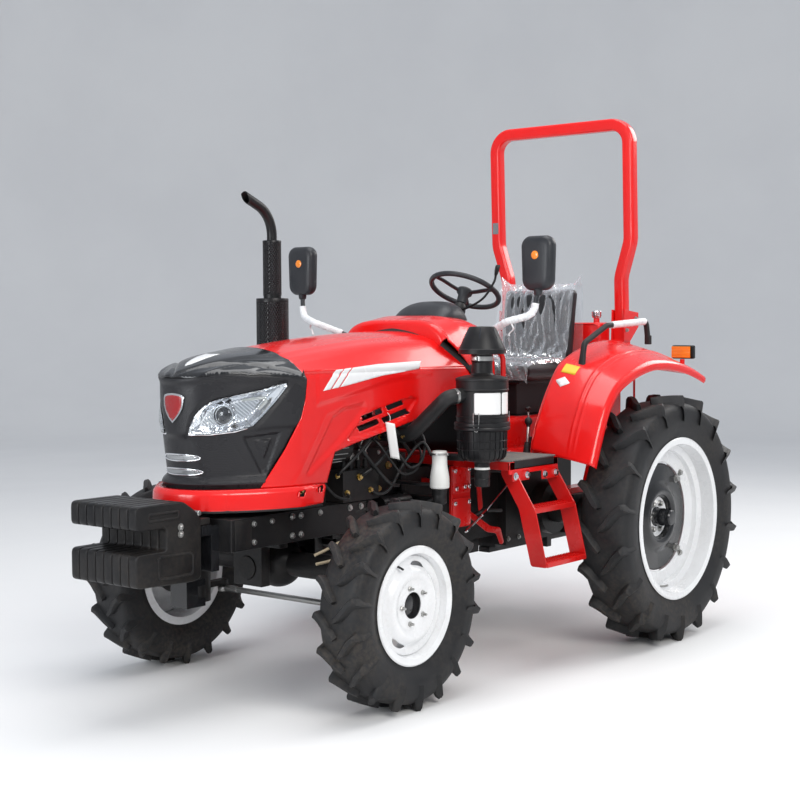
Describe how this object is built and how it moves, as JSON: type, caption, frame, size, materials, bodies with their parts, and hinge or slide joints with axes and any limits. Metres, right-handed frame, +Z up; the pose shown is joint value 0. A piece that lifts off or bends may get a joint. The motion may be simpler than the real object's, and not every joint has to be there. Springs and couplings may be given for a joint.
{
  "type": "farm tractor",
  "caption": "Utility farm tractor with folding roll bar, tilting bonnet, steered front axle, front weights and a rear three-point linkage.",
  "frame": {"origin": "on the ground under the middle of the whole machine", "axes": "+X points forward, +Y to the left of the driver, +Z up"},
  "size_m": [3.598, 1.908, 2.5337],
  "materials": {
    "amber": "amber reflector",
    "black_paint": "semi-gloss black enamel",
    "black_plastic": "moulded black plastic, part satin and part woven pattern",
    "cast_black": "black painted castings",
    "clear_lens": "clear moulded lens",
    "red_paint": "gloss red enamel",
    "rubber": "moulded black rubber",
    "seat_vinyl": "black vinyl under a clear film cover",
    "steel": "zinc plated steel",
    "tyre_rubber": "dusty black tyre rubber",
    "white_paint": "white enamel",
    "white_plastic": "translucent white plastic"
  },
  "bodies": {
    "chassis": {"air_cleaner": "black_plastic", "coolant_bottle": "white_plastic", "cowl": "red_paint", "drawbar": "black_paint", "engine_block": "cast_black", "engine_equipment": "cast_black", "exhaust": "black_paint", "fenders": "red_paint", "front_axle": "cast_black", "front_bolster": "black_paint", "front_drive_shaft": "black_paint", "front_weights": "black_paint", "fuel_tank": "red_paint", "gearbox": "cast_black", "grab_rails": "rubber", "instrument_dome": "black_plastic", "intake_hose": "rubber", "levers": "black_plastic", "linkage_bracket": "black_paint", "mirrors": "black_paint", "platform": "red_paint", "radiator": "cast_black", "rear_axle_housing": "cast_black", "rear_lamps": "amber", "rops_posts": "red_paint", "seat_back": "seat_vinyl", "seat_base": "red_paint", "seat_cushion": "seat_vinyl", "steering_column": "black_paint", "steps": "red_paint", "weight_bracket": "black_paint"},
    "rear_wheel_left": {"rear_tyre_left": "tyre_rubber", "rear_rim_left": "white_paint", "rear_disc_left": "black_paint"},
    "rear_wheel_right": {"rear_tyre_right": "tyre_rubber", "rear_rim_right": "white_paint", "rear_disc_right": "black_paint"},
    "front_knuckle_left": {"knuckle_left": "cast_black"},
    "front_knuckle_right": {"knuckle_right": "cast_black"},
    "front_wheel_left": {"front_tyre_left": "tyre_rubber", "front_rim_left": "white_paint", "front_hub_left": "black_paint"},
    "front_wheel_right": {"front_tyre_right": "tyre_rubber", "front_rim_right": "white_paint", "front_hub_right": "black_paint"},
    "steering_tie_rod": {"tie_rod": "steel"},
    "engine_hood": {"hood": "red_paint", "nose": "black_plastic", "headlamps": "clear_lens"},
    "roll_bar": {"rops_hoop": "red_paint"},
    "steering_handwheel": {"steering_wheel": "black_plastic"},
    "lift_arm_pair": {"lift_arms": "red_paint"},
    "lower_link_pair": {"lower_links": "red_paint"},
    "lift_rod_pair": {"lift_rods": "red_paint"},
    "upper_link": {"top_link": "red_paint"},
    "pto_output": {"pto_shaft": "steel"}
  },
  "joints": [
    {"name": "rear_axle_left", "type": "hinge", "parent": "chassis", "child": "rear_wheel_left", "pos_m": [-0.866, 0.833, 0.577], "axis": [0, 1, 0], "continuous": true},
    {"name": "rear_axle_right", "type": "hinge", "parent": "chassis", "child": "rear_wheel_right", "pos_m": [-0.866, -0.833, 0.577], "axis": [0, 1, 0], "continuous": true},
    {"name": "kingpin_left", "type": "hinge", "parent": "chassis", "child": "front_knuckle_left", "pos_m": [0.867, 0.49, 0.407], "axis": [0, 0, 1], "range_deg": [-35, 35]},
    {"name": "kingpin_right", "type": "hinge", "parent": "chassis", "child": "front_knuckle_right", "pos_m": [0.867, -0.49, 0.407], "axis": [0, 0, 1], "range_deg": [-35, 35]},
    {"name": "front_hub_spin_left", "type": "hinge", "parent": "front_knuckle_left", "child": "front_wheel_left", "pos_m": [0.867, 0.647, 0.407], "axis": [0, 1, 0], "continuous": true},
    {"name": "front_hub_spin_right", "type": "hinge", "parent": "front_knuckle_right", "child": "front_wheel_right", "pos_m": [0.867, -0.647, 0.407], "axis": [0, 1, 0], "continuous": true},
    {"name": "tie_rod_pin", "type": "hinge", "parent": "front_knuckle_left", "child": "steering_tie_rod", "pos_m": [0.712, 0.49, 0.35], "axis": [0, 0, 1], "range_deg": [-35, 35]},
    {"name": "hood_hinge", "type": "hinge", "parent": "chassis", "child": "engine_hood", "pos_m": [0.096, 0, 1.478], "axis": [0, -1, 0], "range_deg": [0, 45]},
    {"name": "roll_bar_fold", "type": "hinge", "parent": "chassis", "child": "roll_bar", "pos_m": [-1.414, 0, 1.512], "axis": [0, -1, 0], "range_deg": [0, 95]},
    {"name": "steering_wheel_spin", "type": "hinge", "parent": "chassis", "child": "steering_handwheel", "pos_m": [-0.452, 0, 1.651], "axis": [-0.4695, 0, 0.8829], "continuous": true},
    {"name": "hitch_lift", "type": "hinge", "parent": "chassis", "child": "lift_arm_pair", "pos_m": [-0.926, 0, 0.985], "axis": [0, 1, 0], "range_deg": [-8, 35]},
    {"name": "lower_link_pivot", "type": "hinge", "parent": "chassis", "child": "lower_link_pair", "pos_m": [-1.066, 0, 0.45], "axis": [0, 1, 0], "range_deg": [-8, 35]},
    {"name": "lift_rod_pin", "type": "hinge", "parent": "lift_arm_pair", "child": "lift_rod_pair", "pos_m": [-1.22436, 0, 0.95364], "axis": [0, 1, 0], "range_deg": [-35, 8]},
    {"name": "top_link_pin", "type": "hinge", "parent": "chassis", "child": "upper_link", "pos_m": [-1.171, 0, 0.915], "axis": [0, 1, 0], "range_deg": [-50, 30]},
    {"name": "pto_spin", "type": "hinge", "parent": "chassis", "child": "pto_output", "pos_m": [-1.166, 0, 0.64], "axis": [1, 0, 0], "continuous": true}
  ],
  "couplings": [
    {"joint": "kingpin_right", "follows": "kingpin_left", "ratio": 1},
    {"joint": "tie_rod_pin", "follows": "kingpin_left", "ratio": -1},
    {"joint": "lower_link_pivot", "follows": "hitch_lift", "ratio": 1},
    {"joint": "lift_rod_pin", "follows": "hitch_lift", "ratio": -1}
  ]
}
